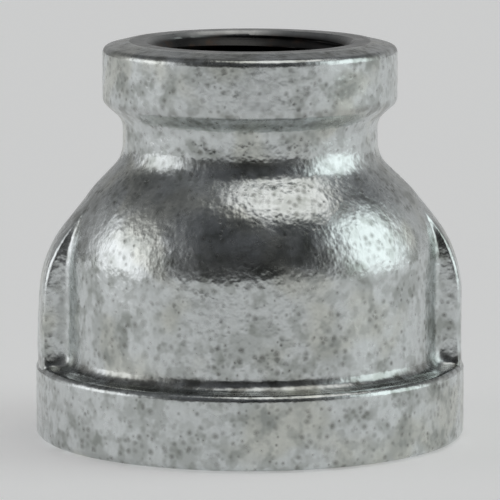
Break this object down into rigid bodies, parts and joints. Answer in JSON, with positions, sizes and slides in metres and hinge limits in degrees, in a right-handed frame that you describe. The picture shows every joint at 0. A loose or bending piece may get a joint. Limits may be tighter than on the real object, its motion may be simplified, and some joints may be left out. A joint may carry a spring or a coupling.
{
  "type": "concentric reducer",
  "caption": "Concentric pipe reducer: a cast bell with a banded, internally threaded socket at each end and two lug ribs, joining a large pipe to a smaller one in line.",
  "frame": {"origin": "centre of the large end's faced rim, on the flow axis", "axes": "+Z along the flow axis from the large end to the small end, +X through one of the two lug ribs"},
  "size_m": [0.0568, 0.0568, 0.0523],
  "materials": {
    "bare_iron": "malleable iron, turned and tapped bare after galvanising",
    "outer_zinc": "hot-dip zinc over a sand-cast skin, semi-bright and mottled",
    "waterway_zinc": "hot-dip zinc over the cored skin, dull"
  },
  "bodies": {
    "root": {"iron_casting": "bare_iron", "outer_zinc_coat": "outer_zinc", "waterway_zinc_coat": "waterway_zinc"}
  },
  "joints": []
}
